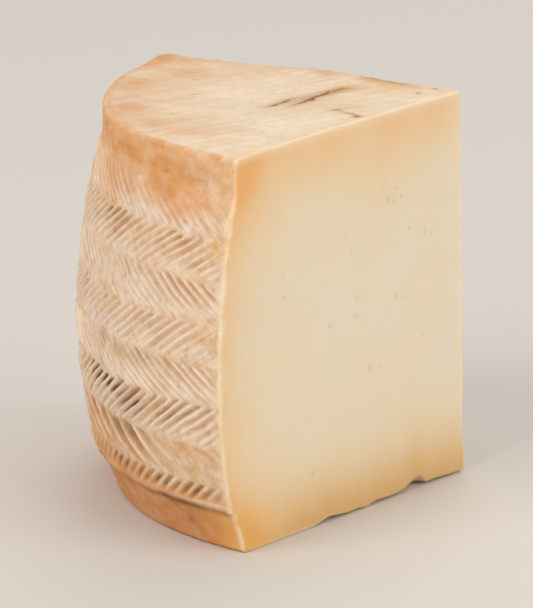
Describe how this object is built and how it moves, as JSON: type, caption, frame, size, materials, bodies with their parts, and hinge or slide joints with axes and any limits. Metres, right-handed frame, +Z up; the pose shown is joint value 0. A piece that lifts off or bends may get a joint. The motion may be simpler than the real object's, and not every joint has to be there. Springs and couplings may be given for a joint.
{
  "type": "aged goat cheese wedge",
  "caption": "Quarter of an aged goat cheese wheel: plait-marked bulging rind, smooth foot band with a ledge, low domed top and two flat cut faces.",
  "frame": {"origin": "on the ground under the middle of the quarter's bounding box", "axes": "+Z up, +X out of the first cut face, +Y nearly out of the second cut face; the rind faces -X and -Y"},
  "size_m": [0.0966, 0.1036, 0.1013],
  "materials": {
    "cheese": "ivory paste and a dry peach to orange rind, satin"
  },
  "bodies": {
    "root": {"cheese_wedge": "cheese"}
  },
  "joints": []
}
